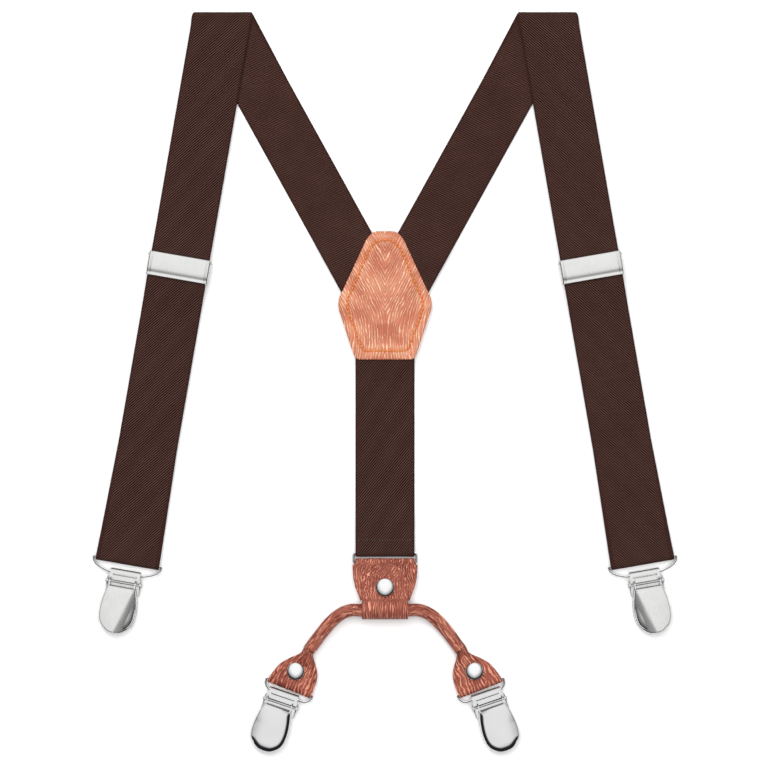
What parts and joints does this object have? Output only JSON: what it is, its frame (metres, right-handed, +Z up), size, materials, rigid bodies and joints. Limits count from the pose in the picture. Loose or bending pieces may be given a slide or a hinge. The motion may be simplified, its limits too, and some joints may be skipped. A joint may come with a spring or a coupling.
{
  "type": "clip-on suspenders",
  "caption": "Y-back elastic suspenders with a leather back patch, sliding adjusters, a corded leather rear harness and lever clips that grip trousers.",
  "frame": {"origin": "centre of the bounding box in plan, on the surface the suspenders lie on", "axes": "+Z up from that surface, +Y from the clips towards the shoulder folds, +X to the right of the centre line seen from above"},
  "size_m": [0.3468, 0.4389, 0.011],
  "materials": {
    "webbing": "dark brown elastic twill webbing",
    "tan_leather": "matte, finely wrinkled salmon tan leather",
    "red_leather": "soft glove-like brick red leather",
    "orange_thread": "twisted thread",
    "brown_thread": "twisted thread",
    "satin_nickel": "satin nickel plate",
    "bright_chrome": "polished chrome",
    "clip_insert": "off-white moulded plastic"
  },
  "bodies": {
    "yoke": {"patch_back": "tan_leather", "patch_front": "tan_leather", "patch_stitching": "orange_thread", "left_webbing": "webbing", "right_webbing": "webbing", "back_webbing": "webbing", "back_stitching": "brown_thread"},
    "left_adjuster": {"left_adjuster_frame": "satin_nickel", "left_adjuster_pin": "bright_chrome"},
    "left_lever": {"left_adjuster_lever": "satin_nickel"},
    "left_strap_end": {"left_webbing_loop": "webbing"},
    "left_front_bow": {"left_front_wire": "bright_chrome"},
    "left_front_clip": {"left_front_clip_plate": "satin_nickel", "left_front_clip_pin": "bright_chrome"},
    "left_front_cover": {"left_front_clip_cover": "satin_nickel", "left_front_clip_insert": "clip_insert"},
    "right_adjuster": {"right_adjuster_frame": "satin_nickel", "right_adjuster_pin": "bright_chrome"},
    "right_lever": {"right_adjuster_lever": "satin_nickel"},
    "right_strap_end": {"right_webbing_loop": "webbing"},
    "right_front_bow": {"right_front_wire": "bright_chrome"},
    "right_front_clip": {"right_front_clip_plate": "satin_nickel", "right_front_clip_pin": "bright_chrome"},
    "right_front_cover": {"right_front_clip_cover": "satin_nickel", "right_front_clip_insert": "clip_insert"},
    "ring": {"rear_ring": "bright_chrome"},
    "tab": {"rear_tab": "red_leather", "cord_keeper": "red_leather", "keeper_rivet_post": "bright_chrome", "keeper_rivet_cap": "bright_chrome"},
    "harness": {"harness_cord": "red_leather", "left_harness_end": "red_leather", "left_harness_end_rivet_post": "bright_chrome", "left_harness_end_rivet_cap": "bright_chrome", "right_harness_end": "red_leather", "right_harness_end_rivet_post": "bright_chrome", "right_harness_end_rivet_cap": "bright_chrome"},
    "left_rear_bow": {"left_rear_wire": "bright_chrome"},
    "left_rear_clip": {"left_rear_clip_plate": "satin_nickel", "left_rear_clip_pin": "bright_chrome"},
    "left_rear_cover": {"left_rear_clip_cover": "satin_nickel", "left_rear_clip_insert": "clip_insert"},
    "right_rear_bow": {"right_rear_wire": "bright_chrome"},
    "right_rear_clip": {"right_rear_clip_plate": "satin_nickel", "right_rear_clip_pin": "bright_chrome"},
    "right_rear_cover": {"right_rear_clip_cover": "satin_nickel", "right_rear_clip_insert": "clip_insert"}
  },
  "joints": [
    {"name": "left_adjuster_slide", "type": "slide", "parent": "yoke", "child": "left_adjuster", "axis": [-0.1711, -0.9853, 0], "range_m": [-0.08, 0.29], "deforming": ["left_webbing"]},
    {"name": "left_strap_slide", "type": "slide", "parent": "left_adjuster", "child": "left_strap_end", "axis": [-0.1711, -0.9853, 0], "range_m": [-0.145, 0.04], "deforming": ["left_webbing_loop"]},
    {"name": "left_lever_hinge", "type": "hinge", "parent": "left_adjuster", "child": "left_lever", "pos_m": [-0.12135, 0.07382, 0.0054], "axis": [-0.9853, 0.1711, 0], "range_deg": [0, 60]},
    {"name": "left_front_bow_swing", "type": "hinge", "parent": "left_strap_end", "child": "left_front_bow", "pos_m": [-0.15243, -0.1052, 0.0023], "axis": [-0.9853, 0.1711, 0], "range_deg": [0, 70]},
    {"name": "left_front_clip_swing", "type": "hinge", "parent": "left_front_bow", "child": "left_front_clip", "pos_m": [-0.15371, -0.11259, 0.0023], "axis": [-0.9853, 0.1711, 0], "range_deg": [0, 30]},
    {"name": "left_front_cover_hinge", "type": "hinge", "parent": "left_front_clip", "child": "left_front_cover", "pos_m": [-0.15467, -0.11811, 0.004], "axis": [-0.9853, 0.1711, 0], "range_deg": [0, 90]},
    {"name": "right_adjuster_slide", "type": "slide", "parent": "yoke", "child": "right_adjuster", "axis": [0.1711, -0.9853, 0], "range_m": [-0.08, 0.29], "deforming": ["right_webbing"]},
    {"name": "right_strap_slide", "type": "slide", "parent": "right_adjuster", "child": "right_strap_end", "axis": [0.1711, -0.9853, 0], "range_m": [-0.145, 0.04], "deforming": ["right_webbing_loop"]},
    {"name": "right_lever_hinge", "type": "hinge", "parent": "right_adjuster", "child": "right_lever", "pos_m": [0.12135, 0.07382, 0.0054], "axis": [-0.9853, -0.1711, 0], "range_deg": [0, 60]},
    {"name": "right_front_bow_swing", "type": "hinge", "parent": "right_strap_end", "child": "right_front_bow", "pos_m": [0.15243, -0.1052, 0.0023], "axis": [-0.9853, -0.1711, 0], "range_deg": [0, 70]},
    {"name": "right_front_clip_swing", "type": "hinge", "parent": "right_front_bow", "child": "right_front_clip", "pos_m": [0.15371, -0.11259, 0.0023], "axis": [-0.9853, -0.1711, 0], "range_deg": [0, 30]},
    {"name": "right_front_cover_hinge", "type": "hinge", "parent": "right_front_clip", "child": "right_front_cover", "pos_m": [0.15467, -0.11811, 0.004], "axis": [-0.9853, -0.1711, 0], "range_deg": [0, 90]},
    {"name": "ring_swing", "type": "hinge", "parent": "yoke", "child": "ring", "pos_m": [0, -0.1003, 0.0024], "axis": [-1, 0, 0], "range_deg": [0, 75]},
    {"name": "tab_swing", "type": "hinge", "parent": "ring", "child": "tab", "pos_m": [0, -0.1065, 0.0024], "axis": [-1, 0, 0], "range_deg": [0, 60]},
    {"name": "cord_slide", "type": "slide", "parent": "tab", "child": "harness", "axis": [1, 0, 0], "range_m": [-0.005, 0.005]},
    {"name": "left_rear_bow_swing", "type": "hinge", "parent": "harness", "child": "left_rear_bow", "pos_m": [-0.05647, -0.17946, 0.0023], "axis": [-0.9323, 0.3616, 0], "range_deg": [0, 45]},
    {"name": "left_rear_clip_swing", "type": "hinge", "parent": "left_rear_bow", "child": "left_rear_clip", "pos_m": [-0.06002, -0.18419, 0.0023], "axis": [-0.9323, 0.3616, 0], "range_deg": [0, 25]},
    {"name": "left_rear_cover_hinge", "type": "hinge", "parent": "left_rear_clip", "child": "left_rear_cover", "pos_m": [-0.06184, -0.18949, 0.004], "axis": [-0.9461, 0.3239, 0], "range_deg": [0, 90]},
    {"name": "right_rear_bow_swing", "type": "hinge", "parent": "harness", "child": "right_rear_bow", "pos_m": [0.05647, -0.17946, 0.0023], "axis": [-0.9323, -0.3616, 0], "range_deg": [0, 45]},
    {"name": "right_rear_clip_swing", "type": "hinge", "parent": "right_rear_bow", "child": "right_rear_clip", "pos_m": [0.06002, -0.18419, 0.0023], "axis": [-0.9323, -0.3616, 0], "range_deg": [0, 25]},
    {"name": "right_rear_cover_hinge", "type": "hinge", "parent": "right_rear_clip", "child": "right_rear_cover", "pos_m": [0.06184, -0.18949, 0.004], "axis": [-0.9461, -0.3239, 0], "range_deg": [0, 90]}
  ],
  "couplings": [
    {"joint": "left_strap_slide", "follows": "left_adjuster_slide", "ratio": -0.5},
    {"joint": "right_strap_slide", "follows": "right_adjuster_slide", "ratio": -0.5}
  ]
}
